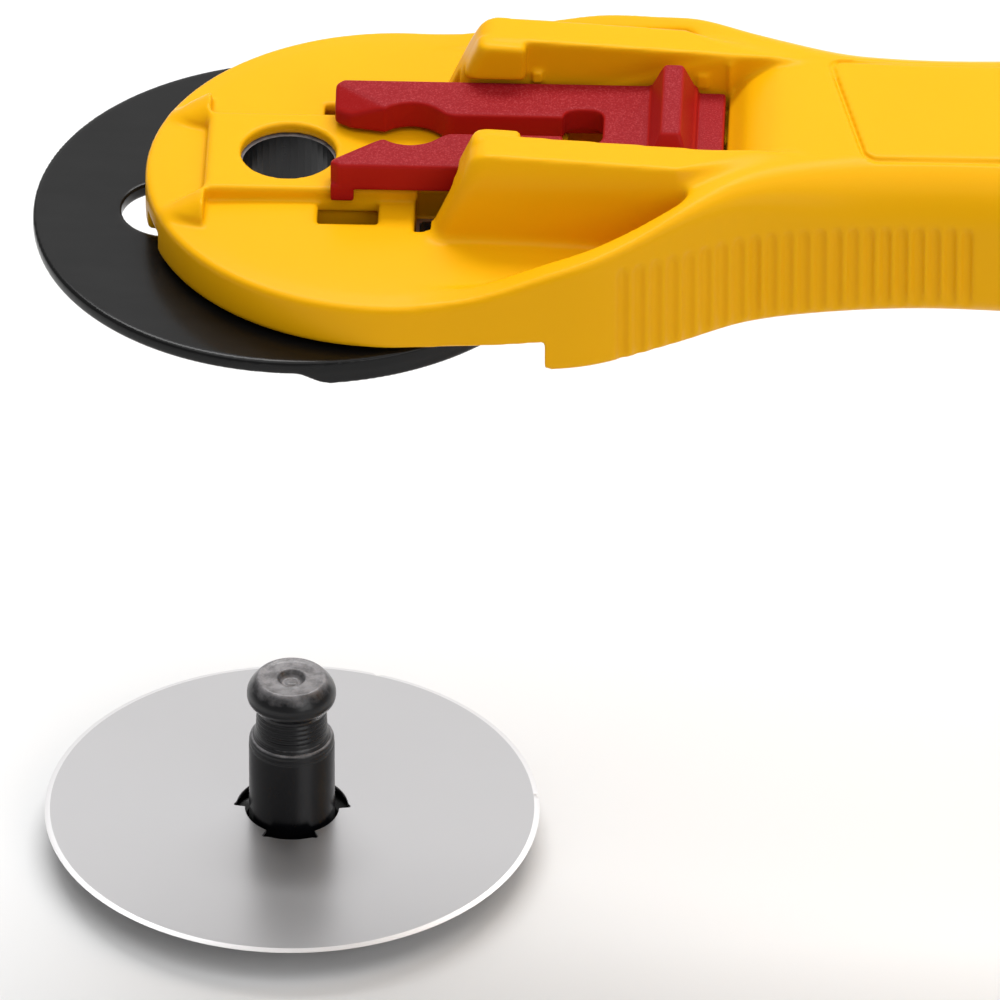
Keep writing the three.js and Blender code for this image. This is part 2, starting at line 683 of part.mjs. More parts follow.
add("handle_body", handleBody(), colours.yellow);
add("handle_base_cover", baseCover(), colours.yellow);
screwXs.forEach((x, i) => add(`cover_screw_${i + 1}`, coverScrew(x), colours.spring));
add("pin_bushing", ring(boreRadius, boreRadius + bushingWall, 0.1, 4.9), colours.black);
add("lock_slider", lockSlider(), colours.red);
add("lock_detent_leaf", leafSpring(lockLeaf), colours.spring);
add("lock_leaf_rivet", leafRivet(lockLeaf.rivet, 3.4, 6.5, 6.3), colours.spring);
add("guard_plate", guardPlate(), colours.black);
add("guard_clip_left", guardClip(1), colours.spring);
add("guard_clip_right", guardClip(-1), colours.spring);
add("guard_detent_leaf", leafSpring(guardLeaf), colours.spring);
add("guard_leaf_rivet", leafRivet(guardLeaf.rivet, 0.2, 3.6, 0.1), colours.spring);
add("blade", blade(), colours.steel, -dropHeight);
add("blade_washer", ring(5.5, 7.2, -2.9, -2.5), colours.spring, -dropHeight);
add("pin_stud", pinStud(), colours.black, -dropHeight);
add("pin_base_cap", pinCap(), colours.black, -dropHeight);
group.position.set(-gripCentreX, 0, -gripCentreZ);

export default group;
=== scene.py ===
import math

import bmesh
import bpy
import numpy as np
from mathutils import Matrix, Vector


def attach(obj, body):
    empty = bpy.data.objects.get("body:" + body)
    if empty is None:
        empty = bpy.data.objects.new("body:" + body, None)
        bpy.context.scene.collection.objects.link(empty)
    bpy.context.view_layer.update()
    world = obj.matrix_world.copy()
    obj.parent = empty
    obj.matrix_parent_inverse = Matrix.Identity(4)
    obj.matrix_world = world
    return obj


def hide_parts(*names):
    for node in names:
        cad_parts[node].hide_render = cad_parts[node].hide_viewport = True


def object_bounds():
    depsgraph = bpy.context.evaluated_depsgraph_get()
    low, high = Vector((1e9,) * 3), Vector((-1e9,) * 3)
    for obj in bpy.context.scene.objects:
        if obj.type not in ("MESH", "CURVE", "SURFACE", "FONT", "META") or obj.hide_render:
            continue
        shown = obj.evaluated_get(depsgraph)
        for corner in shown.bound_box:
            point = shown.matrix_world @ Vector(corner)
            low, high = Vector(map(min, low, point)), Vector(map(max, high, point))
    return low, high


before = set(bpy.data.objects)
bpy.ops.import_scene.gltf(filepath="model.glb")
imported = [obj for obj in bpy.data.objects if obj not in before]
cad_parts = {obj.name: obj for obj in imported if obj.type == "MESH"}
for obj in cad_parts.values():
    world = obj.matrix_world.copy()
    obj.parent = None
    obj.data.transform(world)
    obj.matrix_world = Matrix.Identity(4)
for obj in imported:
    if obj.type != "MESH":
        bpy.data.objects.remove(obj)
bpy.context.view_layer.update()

# Shapes below are in millimetres, measured from the blade pin's axis and the flat underside of the head,
# with the handle towards +X. to_row() turns them into the row's metres, about the middle of the grip.
GRIP_CENTRE = (100.0, 0.0, 4.4)
DROP = 63.9  # how far the pin and blade hang below their working place

# head, raised track and the channel that the slider runs in
HEAD_X, HEAD_RADIUS, RIM_HEIGHT = 9.5, 22.3, 4.4
BORE_RADIUS, BORE_LIP, BORE_LIP_HEIGHT = 5.0, 0.75, 5.1
TRACK_HEIGHT, TRACK_HALF, TRACK_FRONT = 6.2, 6.1, -7.4
CHANNEL_HALF, CHANNEL_END = 7.5, 39.2
RAIL_OUTER, RAIL_HEIGHT, RAIL_FALL, BOSS_HALF = 12.0, 13.6, 0.06, 6.3
GUIDE_START, GUIDE_END = 11.6, 24.6  # the slots that the guard's lugs run in

# grip
STEP_X = 23.3  # the grip is deeper than the head from here on
END_START, HANDLE_END = 146.0, 157.0
HANG_HOLE_X, HANG_HOLE_RADIUS = 148.0, 3.6

# lock slider
SLAB_BOTTOM, SLAB_TOP, SLIDER_HALF = 6.6, 9.4, 6.85
SLIDER_FRONT, SLIDER_REAR, FORK_X, FORK_RADIUS = 4.0, 38.9, 10.9, 3.35
LIP_FRONT, LIP_REAR, LIP_TOP = 32.0, 36.4, 12.6

# guard
GUARD_X, GUARD_RADIUS, GUARD_TOP, GUARD_BOTTOM, SKIRT_BOTTOM = 1.2, 24.1, -0.3, -1.6, -2.7
GUARD_TRAVEL = 9.0
GUARD_SLOT_FRONT, GUARD_SLOT_REAR, GUARD_SLOT_RADIUS = -10.7, 0.3, 4.25
NOTCH_X = 16.0  # the notch that holds the guard forward

# blade
BLADE_RADIUS, BLADE_TOP, BLADE_THICKNESS, BEVEL = 22.5, -1.9, 0.3, 0.5
BLADE_HOLE, LOBE_RADIUS = 4.25, 5.1


def to_row(points, drop=0.0):
    shift = np.array(GRIP_CENTRE) + (0, 0, drop)
    return (np.asarray(points, float) - shift) / 1000.0


# ---- distance fields: negative inside, with edges rounded where two of them meet ----
def soft_max(a, b, width):
    blend = np.maximum(width - np.abs(a - b), 0) / width
    return np.maximum(a, b) + blend * blend * width / 4


def soft_min(a, b, width):
    return -soft_max(-a, -b, width)


def cut(body, tool, width):
    return soft_max(body, -tool, width)


def rounded(u, v, radius):
    """Two faces that meet in an edge of the given radius."""
    pu, pv = u + radius, v + radius
    return np.minimum(np.maximum(pu, pv), 0) + np.hypot(np.maximum(pu, 0), np.maximum(pv, 0)) - radius


def between(value, low, high):
    return np.maximum(low - value, value - high)


def block(grid, x, y, z, width=0.4):
    gx, gy, gz = grid
    flat = soft_max(between(gx, *x), between(gy, *y), width)
    return soft_max(flat, between(gz, *z), width)


def curve_through(stations):
    """A smooth curve through a few stations, read back as a value for any x."""
    xs, vs = np.array(stations, float).T
    before = np.maximum(np.arange(len(xs)) - 1, 0)
    after = np.minimum(np.arange(len(xs)) + 1, len(xs) - 1)
    slopes = (vs[after] - vs[before]) / (xs[after] - xs[before])

    def value(x):
        i = np.clip(np.searchsorted(xs, x, "right") - 1, 0, len(xs) - 2)
        span = xs[i + 1] - xs[i]
        t = np.clip((x - xs[i]) / span, 0, 1)
        rise = t * t * (3 - 2 * t)
        lead = t * (1 - t) ** 2 * span * slopes[i]
        trail = t * t * (t - 1) * span * slopes[i + 1]
        return vs[i] + (vs[i + 1] - vs[i]) * rise + lead + trail

    return value


def make_grid(low, high, step):
    axes = [np.arange(a, b + step, step, dtype=np.float32) for a, b in zip(low, high)]
    return axes[0][:, None, None], axes[1][None, :, None], axes[2][None, None, :]


def skin(field, low, step):
    """The surface where the field is zero, as one point per crossed cell and one quad per crossed edge."""
    inside = field < 0
    corner_offsets = [(i, j, k) for i in (0, 1) for j in (0, 1) for k in (0, 1)]
    size = np.array(field.shape) - 1
    count = np.zeros(size, np.int8)
    for i, j, k in corner_offsets:
        count += inside[i : i + size[0], j : j + size[1], k : k + size[2]]
    cells = np.argwhere((count > 0) & (count < 8))
    values = [field[tuple((cells + offset).T)] for offset in corner_offsets]
    total = np.zeros((len(cells), 3))
    crossings = np.zeros(len(cells))
    for a, start in enumerate(corner_offsets):
        for b, end in enumerate(corner_offsets):
            if sum(end) - sum(start) != 1 or sum(abs(p - q) for p, q in zip(start, end)) != 1:
                continue
            crossed = (values[a] < 0) != (values[b] < 0)
            t = np.where(crossed, values[a] / np.where(crossed, values[a] - values[b], 1), 0)
            point = np.array(start) + t[:, None] * (np.array(end) - np.array(start))
            total += np.where(crossed[:, None], point, 0)
            crossings += crossed
    points = np.array(low) + (cells + total / crossings[:, None]) * step
    number = np.full(size, -1, np.int32)
    number[tuple(cells.T)] = np.arange(len(cells))
    quads = []
    for axis in range(3):
        others = [i for i in range(3) if i != axis]
        first = np.moveaxis(inside, axis, 0)[:-1]
        second = np.moveaxis(inside, axis, 0)[1:]
        edges = np.argwhere(first != second)
        leaving = first[tuple(edges.T)]
        index = np.zeros((len(edges), 3), int)
        index[:, axis] = edges[:, 0]
        index[:, others[0]] = edges[:, 1]
        index[:, others[1]] = edges[:, 2]
        ring = []
        for du, dv in ((1, 1), (0, 1), (0, 0), (1, 0)):
            cell = index.copy()
            cell[:, others[0]] -= du
            cell[:, others[1]] -= dv
            ring.append(number[tuple(cell.T)])
        quad = np.stack(ring, 1)
        flip = leaving if axis == 1 else ~leaving
        quad[flip] = quad[flip][:, ::-1]
        quads.append(quad)
    return points, np.concatenate(quads)


def mesh_object(name, points, faces, drop=0.0):
    mesh = bpy.data.meshes.new(name)
    mesh.from_pydata(to_row(points, drop).tolist(), [], [list(map(int, face)) for face in faces])
    mesh.update()
    mesh.shade_smooth()
    piece = bpy.data.objects.new(name, mesh)
    bpy.context.scene.collection.objects.link(piece)
    return piece


def apply_modifier(piece, kind, **settings):
    modifier = piece.modifiers.new(kind.title(), kind)
    for key, value in settings.items():
        setattr(modifier, key, value)
    bpy.context.view_layer.objects.active = piece
    bpy.ops.object.modifier_apply(modifier=modifier.name)


def field_object(name, field, low, step, smoothing):
    points, faces = skin(field, low, step)
    piece = mesh_object(name, points, faces)
    apply_modifier(piece, "SMOOTH", factor=0.5, iterations=smoothing)
    return piece


# ---- yellow handle: its outline as stations of (distance behind the pin, value) ----
half_width = curve_through([
    (9, 21.9), (13, 21.9), (18, 21.7), (23, 21.05), (28, 20.05), (35, 16.75), (41.5, 13.5), (50, 12),
    (60, 11.7), (80, 12.9), (102, 14.6), (125, 14.2), (145, 12.6), (158, 12.2),
])
top_height = curve_through([
    (9, 4.4), (12, 4.4), (17, 5.1), (24, 7.2), (31.5, 9.4), (37, 11.3), (42, 12), (50, 11.8), (65, 11.8),
    (102, 12.6), (130, 11.8), (158, 9.6),
])
bottom_height = curve_through([(9, -3), (60, -3), (102, -3.6), (130, -3), (158, -1.4)])
top_rounding = curve_through([(9, 0.5), (24, 0.7), (34, 1.2), (44, 3.6), (52, 5), (102, 5.6), (158, 4.5)])
bottom_rounding = curve_through([(9, 0.6), (30, 0.8), (44, 2.0), (60, 3.0), (158, 3.4)])


def grip_field(grid):
    gx, gy, gz = grid
    power = 2.2
    half = half_width(gx)
    along = np.clip((gx - END_START) / (HANDLE_END - END_START), 0, 1.2)
    end_norm = (along**power + np.abs(gy / half) ** power) ** (1 / power)
    side = np.where(gx > END_START, (end_norm - 1) * 12, np.abs(gy) - half)
    shrink = np.maximum(1 - along**power, 0) ** (1 / power)
    middle = (top_height(gx) + bottom_height(gx)) / 2
    full = 0.35 + 0.65 * shrink
    top = middle + (top_height(gx) - middle) * full
    bottom = middle + (bottom_height(gx) - middle) * full
    over = rounded(side, gz - top, top_rounding(gx))
    under = rounded(side, bottom - gz, bottom_rounding(gx))
    return np.maximum(over, under)


def head_field(grid):
    gx, gy, gz = grid
    reach = np.hypot(gx - HEAD_X, gy)
    dome = curve_through([(0, 4.95), (8, 4.95), (13, 4.9), (17, 4.78), (20, 4.6), (22.3, 4.35), (40, 4.3)])
    over = rounded(reach - HEAD_RADIUS, gz - dome(reach), 0.55)
    return np.maximum(over, rounded(reach - HEAD_RADIUS, -gz, 0.35))


def pocket_field(grid):
    """The pocket on each side between the rail and the rising rim of the shoulder."""
    gx, gy, gz = grid
    side = np.abs(gy)
    inner = half_width(gx) - 2.7
    rear = (gx - 35.2) * 0.9 - (gz - RIM_HEIGHT) * 0.12
    floor = RIM_HEIGHT - gz
    # it reaches in under the rail, whose own outer face then makes the wall
    plan = soft_max(RAIL_OUTER - 1 - side, side - inner, 0.8)
    return soft_max(soft_max(plan, floor, 0.3), np.maximum(rear, 9 - gx), 1.6)


def channel_field(grid):
    gx, gy, gz = grid
    ramp_height = curve_through([
        (38, 7.0), (39.6, 8.6), (41, 10.2), (43, 11.35), (45, 11.9), (48, 12.3), (51, 12.7), (60, 13.9),
    ])
    ramp = np.maximum((ramp_height(gx) - gz) * 0.75, CHANNEL_END + 0.1 - gx)
    flat = np.maximum(TRACK_HEIGHT - gz, gx - CHANNEL_END)
    floor = np.minimum(flat, np.maximum(ramp, gx - 52))
    return soft_max(floor, np.abs(gy) - CHANNEL_HALF, 0.5)


def rail_field(grid):
    """A rail beside the channel with a sloped front, a chamfered outer edge and a boss over the slider."""
    gx, gy, gz = grid
    side = np.abs(gy)
    top = RAIL_HEIGHT - np.clip(gx - 17, 0, 40) * RAIL_FALL
    foot_x, foot_z, crest_x = 13.0, 4.6, 16.9
    slope = np.array([crest_x - foot_x, RAIL_HEIGHT - foot_z])
    slope = slope / np.hypot(*slope)
    front = (gz - foot_z) * slope[0] - (gx - foot_x) * slope[1]
    # the chamfer grows towards the grip, whose edges are rounder
    grow = np.clip((gx - 35) / 10, 0, 1)
    wide, deep = 0.8 + 3.6 * grow, 1.8 + 2.4 * grow
    chamfer = ((side - RAIL_OUTER) * deep + (gz - top + deep) * wide) / np.hypot(wide, deep)
    outer = soft_max(soft_max(side - RAIL_OUTER, chamfer, 0.6 + 1.6 * grow), gz - top, 0.2 + 1.2 * grow)
    long_form = soft_max(outer, CHANNEL_HALF - side, 0.35)
    wall = soft_max(soft_max(long_form, front, 1.6), gx - 47, 3)
    boss = soft_max(rounded(BOSS_HALF - side, between(gx, 14.6, 21), 0.5), front, 1.2)
    boss = soft_max(boss, side - CHANNEL_HALF - 1, 0.3)
    boss = soft_max(boss, np.maximum(gz - top + 0.12, SLAB_TOP + 0.3 - gz), 0.6)
    tab_front = between(gx, 21.5, 22.4)
    tab_rear = between(gx, 36.4, 37.2)
    tab = np.maximum(np.maximum(between(side, 7.1, 8), np.minimum(tab_front, tab_rear)), between(gz, 9, 10.2))
    return soft_min(np.maximum(wall, 2 - gz), np.minimum(boss, tab), 0.2)


def track_field(grid):
    gx, gy, gz = grid
    strip = soft_max(rounded(TRACK_FRONT - gx, gz - TRACK_HEIGHT, 0.7), np.abs(gy) - TRACK_HALF, 0.25)
    strip = np.maximum(strip, gx - 14)
    # behind the strip the track fills the channel and reaches in under both rails
    rear = np.maximum(between(gx, 12.6, 42), np.abs(gy) - (CHANNEL_HALF + 1))
    rear = np.maximum(rear, gz - TRACK_HEIGHT)
    return np.minimum(np.maximum(strip, 2 - gz), np.maximum(rear, 2 - gz))


def bump_field(grid):
    """The pointed ramp in front of each corner of the slider."""
    gx, gy, gz = grid
    side = np.abs(np.abs(gy) - 7.6)
    height = np.clip((gx + 11.0) / 3.8, 0, 1)
    roof = (gz - (4.4 + 2.2 * height)) * 0.9
    flank = (side - 0.9 - 1.5 * height) * 0.8 + np.clip(gz - 5.2, 0, 2) * 0.5
    return soft_max(soft_max(roof, flank, 1.0), np.maximum(between(gx, -10.8, -7.2), 2 - gz), 0.3)


def side_cuts(grid, body):
    """Windows beside the track, the guide slots behind them and the recess under the slider's hole."""
    gx, gy, gz = grid
    side = np.abs(gy)
    window = np.maximum(between(gx, 2.9, 8.3), between(side, 6.2, 9.4))
    undercut = np.maximum(np.maximum(between(gx, 1.9, 9.3), between(side, 5.8, 10.6)), gz - 3.9)
    daylight = np.maximum(between(gx, 11.8, 15), between(side, 5, 9.2))
    guide_length = between(gx, GUIDE_START, GUIDE_END)
    guide = np.maximum(np.maximum(guide_length, between(side, 4.6, 10.4)), between(gz, 2.4, 5.0))
    slot = np.maximum(np.maximum(guide_length, between(side, 7.0, 9.6)), gz - 2.6)
    recess = np.maximum(np.maximum(between(gx, 24.9, 28.4), side - 5.6), between(gz, 2.6, 8))
    body = cut(body, np.maximum(window, gz - 10), 0.12)
    body = cut(body, np.maximum(daylight, between(gz, -0.5, 10)), 0.12)
    for room in (undercut, guide, slot, recess):
        body = cut(body, room, 0.1)
    return body


def groove_field(grid):
    """Grooves down both sides of the waist, with rounded upper ends."""
    gx, gy, gz = grid
    pitch, first, count = 1.45, 30.4, 22
    place = np.clip(np.round((gx - first) / pitch), 0, count - 1) * pitch + first
    fade = np.clip((7.1 - gz) / 1.4, 0, 1)
    depth = 0.48 * np.sqrt(fade * (2 - fade)) - 0.02
    radius = 0.5
    return np.hypot(gx - place, np.abs(gy) - half_width(gx) - radius + depth) - radius


def panel_line(grid):
    gx, gy, gz = grid
    front = 49.9 - gy * 0.23
    edge = rounded(front - gx, np.abs(gy) - 7.8, 1.3)
    edge = np.maximum(edge, gx - 92)
    line = np.abs(edge) - 0.2
    return np.maximum(line, top_height(gx) - 0.38 - gz)


def make_handle():
    step = 0.25
    low, high = (-13.6, -22.9, -4.3), (157.8, 22.9, 14.6)
    grid = make_grid(low, high, step)
    gx, gy, gz = grid
    shoulder = np.maximum(grip_field(grid), (13.5 - gx) * 0.15)
    shoulder = cut(shoulder, pocket_field(grid), 0.45)
    shoulder = cut(shoulder, np.maximum(gz, gx - STEP_X), 0.3)
    body = soft_min(shoulder, head_field(grid), 0.5)
    body = cut(body, channel_field(grid), 0.5)
    body = soft_min(body, rail_field(grid), 0.9)
    body = soft_min(body, track_field(grid), 0.25)
    body = soft_min(body, bump_field(grid), 0.5)
    # underneath: room for the guard, two notches in the head's lower front edge and the seat of the cover
    sweep = np.hypot(gx - np.clip(gx, GUARD_X, GUARD_X + GUARD_TRAVEL), gy) - GUARD_RADIUS - 0.4
    body = cut(body, np.maximum(sweep, gz), 0.6)
    notch = np.maximum(between(np.abs(gy), 4.2, 7.6), np.maximum(between(gx, -14, -9.5), gz - 2.1))
    body = cut(body, notch, 0.3)
    cover_seat = np.maximum(np.abs(gy) - half_width(gx) + 3.2, between(gx, 41, 141))
    body = cut(body, np.maximum(cover_seat, gz + 0.4), 0.15)
    # the hang hole, with wide rounded edges, and the pin's bore, which narrows to a lip near the top
    body = cut(body, np.hypot(gx - HANG_HOLE_X, gy) - HANG_HOLE_RADIUS, 2.2)
    lip = np.where(gz > BORE_LIP_HEIGHT, BORE_LIP, 0)
    body = cut(body, np.hypot(gx, gy) - BORE_RADIUS + lip, 0.15)
    body = side_cuts(grid, body)
    body = cut(body, groove_field(grid), 0.2)
    body = cut(body, panel_line(grid), 0.12)
    # the seat of the leaf spring under the slider
    body = cut(body, block(grid, (28, 39), (-2.4, 2.4), (5.5, 7.5), 0.1), 0.1)
    return field_object("yellow_handle", body, low, step, smoothing=2)


# ---- red lock slider ----
def make_slider():
    step = 0.17
    low, high = (3.4, -7.4, 5.0), (39.5, 7.4, 13.2)
    grid = make_grid(low, high, step)
    gx, gy, gz = grid
    side = np.abs(gy)
    corner = (side - SLIDER_HALF + (SLIDER_FRONT + 0.7 - gx)) * 0.707
    plan = np.maximum(soft_max(between(gx, SLIDER_FRONT, SLIDER_REAR), side - SLIDER_HALF, 0.3), corner)
    body = soft_max(plan, between(gz, SLAB_BOTTOM, SLAB_TOP), 0.3)
    body = cut(body, np.maximum(LIP_REAR - gx, SLAB_TOP - 0.7 - gz), 0.3)
    foot = block(grid, (SLIDER_FRONT, SLIDER_FRONT + 2.1), (-SLIDER_HALF, SLIDER_HALF), (5.4, 7.2), 0.2)
    foot = np.maximum(foot, TRACK_HALF + 0.2 - side)
    body = soft_min(body, foot, 0.05)
    # finger lip with sloped faces and slanted ends
    lip_front = ((SLAB_TOP - 0.5 - gz) * -1.4 + (LIP_FRONT - gx) * 3.7) / math.hypot(1.4, 3.7)
    lip_rear = ((gx - LIP_REAR) * 3.6 + (gz - (SLAB_TOP - 0.6)) * 1.2) / math.hypot(1.2, 3.6)
    lip_end = (side - SLIDER_HALF) * 0.92 + (gz - SLAB_TOP) * 0.4
    lip = soft_max(soft_max(lip_front, lip_rear, 0.3), soft_max(lip_end, gz - LIP_TOP, 0.3), 0.35)
    body = soft_min(body, np.maximum(lip, SLAB_TOP - 1.5 - gz), 0.25)
    # fork: mouth, circle, relief slot and D-shaped hole
    flare = np.interp(np.asarray(gx), [3, 5.4, 8.6, 12], [4.6, 3.0, 2.4, 1.0]).astype(np.float32)
    mouth = np.maximum((side - flare) * 0.85, gx - 12)
    # the lead-in facet of each prong is the plane through three of its corners
    inner = np.array([8.6, 2.5, SLAB_TOP])
    outer = np.array([4.2, 6.2, SLAB_TOP])
    tip = np.array([3.9, 3.2, SLAB_TOP - 2])
    normal = np.cross(outer - inner, tip - inner)
    normal = normal / np.linalg.norm(normal) * np.sign(normal[2])
    facet = -((gx - inner[0]) * normal[0] + (side - inner[1]) * normal[1] + (gz - inner[2]) * normal[2])
    facet = np.maximum(facet, gx - 10)
    circle = np.hypot(gx - FORK_X, gy) - FORK_RADIUS
    slot = np.maximum(side - 1.45, between(gx, 12, 26))
    d_hole = soft_max(between(gx, 24.5, 28.1), side - 2.7, 1.4)
    opening = soft_min(np.minimum(mouth, circle), slot, 0.9)
    body = cut(body, np.minimum(opening, d_hole), 0.22)
    body = cut(body, facet, 0.25)
    # room underneath for the leaf spring
    body = cut(body, block(grid, (22, 36), (-2.8, 2.8), (0, SLAB_BOTTOM + 0.5), 0.1), 0.1)
    return field_object("red_slider", body, low, step, smoothing=1)


# ---- black guard ----
def make_guard():
    step = 0.22
    low, high = (-23.6, -24.8, -4.2), (26.0, 24.8, 4.4)
    grid = make_grid(low, high, step)
    gx, gy, gz = grid
    side = np.abs(gy)
    reach = np.hypot(gx - GUARD_X, gy)
    disc = soft_max(reach - GUARD_RADIUS, between(gz, GUARD_BOTTOM, GUARD_TOP), 0.35)
    # the skirt stands only on the rear half and starts with a slope
    rear = (1.9 - gx) * 0.447 + (GUARD_BOTTOM - gz) * 0.894
    skirt = soft_max(between(reach, 22.9, GUARD_RADIUS), between(gz, SKIRT_BOTTOM, GUARD_BOTTOM + 0.5), 0.3)
    skirt = soft_max(skirt, rear, 0.3)
    body = soft_min(disc, skirt, 0.2)
    slot = np.hypot(gx - np.clip(gx, GUARD_SLOT_FRONT, GUARD_SLOT_REAR), gy) - GUARD_SLOT_RADIUS
    body = cut(body, slot, 0.3)
    lug = block(grid, (12.1, 15.1), (-9.3, 9.3), (-1, 3.9), 0.3)
    body = soft_min(body, np.maximum(lug, 7.3 - side), 0.2)
    for x in (NOTCH_X, NOTCH_X - GUARD_TRAVEL):
        notch = np.maximum(np.hypot(gx - x, gz - 1.2) - 1.9, side - 3)
        body = cut(body, notch, 0.1)
    return field_object("black_guard", body, low, step, smoothing=1)


# ---- blade, turned pin and pin cap: rings of points about the pin's axis ----
def ring_angles(segments):
    return np.arange(segments) * 2 * math.pi / segments


def ring(radii, height, segments):
    """Points at one height; radii is one radius, or one for each point."""
    angles = ring_angles(segments)
    radii = np.broadcast_to(radii, segments)
    return np.stack([radii * np.cos(angles), radii * np.sin(angles), np.full(segments, height)], 1)


def band(a, b, segments):
    """Quads between two rings whose first points are numbered a and b."""
    return [(a + j, a + (j + 1) % segments, b + (j + 1) % segments, b + j) for j in range(segments)]


def turned(name, profile, segments, shape=None):
    """A closed turned body; the profile runs from the axis at the bottom to the axis at the top."""
    rings = []
    for radius, height in profile:
        if radius < 1e-6:
            rings.append(np.array([[0.0, 0.0, height]]))
        else:
            radii = radius if shape is None else shape(radius, height, ring_angles(segments))
            rings.append(ring(radii, height, segments))
    starts = np.cumsum([0] + [len(points) for points in rings])
    faces = []
    for i in range(len(rings) - 1):
        a, b = starts[i], starts[i + 1]
        if len(rings[i]) == 1:
            faces += [(a, b + (j + 1) % segments, b + j) for j in range(segments)]
        elif len(rings[i + 1]) == 1:
            faces += [(a + j, a + (j + 1) % segments, b) for j in range(segments)]
        else:
            faces += band(a, b, segments)
    return mesh_object(name, np.concatenate(rings), faces, DROP)


def sharpen(piece, degrees):
    """Keeps creases above this angle sharp under smooth shading."""
    mesh = bmesh.new()
    mesh.from_mesh(piece.data)
    for edge in mesh.edges:
        edge.smooth = edge.is_boundary or edge.calc_face_angle(0) < math.radians(degrees)
    mesh.to_mesh(piece.data)
    mesh.free()


def hole_radius(angle):
    """Radius of the blade's centre hole: round, with three lobes whose ends flare a little."""
    lobe_half = math.radians(30)
    nearest = (angle + math.pi / 2 + math.pi / 3) % (2 * math.pi / 3) - math.pi / 3
    inside = np.clip((lobe_half - np.abs(nearest)) / math.radians(2.4) + 0.5, 0, 1)
    step = inside * inside * (3 - 2 * inside)
    flare = 0.18 * np.exp(-(((np.abs(nearest) - math.radians(27)) / math.radians(3)) ** 2))
    return BLADE_HOLE + (LOBE_RADIUS - BLADE_HOLE + flare) * step


def make_blade():
    segments = 720
    angles = ring_angles(segments)
    hole = hole_radius(angles)
    bottom = BLADE_TOP - BLADE_THICKNESS
    middle = (BLADE_TOP + bottom) / 2
    inner = BLADE_RADIUS - BEVEL
    ticks = np.zeros(segments)
    for centre in (72.0, 7.0):
        gap = (np.degrees(angles) - centre + 180) % 360 - 180
        ticks += 0.3 * np.exp(-((gap / 0.6) ** 2))
    rim = BLADE_RADIUS - ticks
    burr = 0.04
    loops = [(hole, middle), (hole, bottom + burr), (hole + burr, bottom)]
    loops += [(hole + (inner - hole) * t, bottom) for t in (0.12, 0.35, 0.7, 1.0)]
    loops += [(inner + (rim - inner) * 0.5, (bottom + middle) / 2 - 0.01), (rim, middle)]
    loops += [(inner + (rim - inner) * 0.5, (BLADE_TOP + middle) / 2 + 0.01)]
    loops += [(hole + (inner - hole) * t, BLADE_TOP) for t in (1.0, 0.7, 0.35, 0.12)]
    loops += [(hole + burr, BLADE_TOP), (hole, BLADE_TOP - burr)]
    rings = [ring(radii, height, segments) for radii, height in loops]
    faces = []
    for i in range(len(rings)):
        faces += band(i * segments, (i + 1) % len(rings) * segments, segments)
    piece = mesh_object("blade_disc", np.concatenate(rings), faces, DROP)
    sharpen(piece, 10)
    return piece


def make_pin():
    profile = [
        (0, -4), (2.55, -4), (2.6, -3.95), (2.6, -3.5), (3.6, -3.45), (3.82, -3.38), (3.9, -3.2), (3.9, -1),
        (3.9, 2), (3.9, 5.2), (3.89, 5.32), (3.84, 5.38), (3.84, 5.5), (3.87, 5.6), (3.86, 5.85), (3.8, 6.05),
        (3.7, 6.2), (3.62, 6.24), (3.56, 6.2), (3.5, 6.24), (3.46, 6.36), (3.42, 6.5), (3.34, 6.58),
        (3.27, 6.7),
    ]
    # fine turned rings round the neck, which narrows upwards
    groove = [(0, 0), (0.1, 0.12), (0.12, 0.2), (0.06, 0.3), (0, 0.4)]  # depth, and height above its foot
    for i in range(5):
        foot = 6.85 + 0.5 * i
        radius = 3.26 - 0.02 * i
        profile += [(radius - depth, foot + rise) for depth, rise in groove]
    profile += [
        (3.2, 9.4), (3.3, 9.62), (3.55, 9.88), (3.82, 10.1), (3.98, 10.35), (4.05, 10.65), (4.05, 10.95),
        (4.02, 11.2), (3.93, 11.45), (3.7, 11.85), (3.42, 12.2), (3.24, 12.4), (3.1, 12.5), (2.98, 12.55),
        (2.84, 12.54), (2.7, 12.46), (2.4, 12.42), (1.6, 12.43), (1.45, 12.48), (1.34, 12.46), (1.22, 12.36),
        (1.05, 12.14), (0.85, 11.94), (0.72, 11.88), (0.6, 11.9), (0.5, 11.98), (0.34, 12.02), (0, 12.03),
    ]
    return turned("turned_pin", profile, 160)


def make_cap():
    def grip_marks(radius, height, angles):
        """Shallow flutes round the rim, so the cap can be turned with the fingers."""
        weight = 1.0 if radius > 8.25 and -4.7 < height < -2.7 else 0.0
        return radius - weight * 0.12 * (0.5 + 0.5 * np.cos(36 * angles)) ** 2

    profile = [
        (0, -5.2), (2, -5.2), (5, -5.2), (7.3, -5.2), (7.7, -5.14), (8.1, -4.96), (8.38, -4.7), (8.48, -4.4),
        (8.5, -3.9), (8.5, -3.3), (8.48, -2.95), (8.38, -2.7), (8.2, -2.58), (8.0, -2.55), (7.5, -2.55),
        (7.4, -2.65), (7.4, -3.1), (7.3, -3.2), (4.3, -3.2), (4.2, -3.3), (4.2, -3.65), (4.1, -3.75),
        (2.85, -3.75), (2.75, -3.85), (2.75, -4.3), (0, -4.3),
    ]
    return turned("pin_cap", profile, 216, grip_marks)


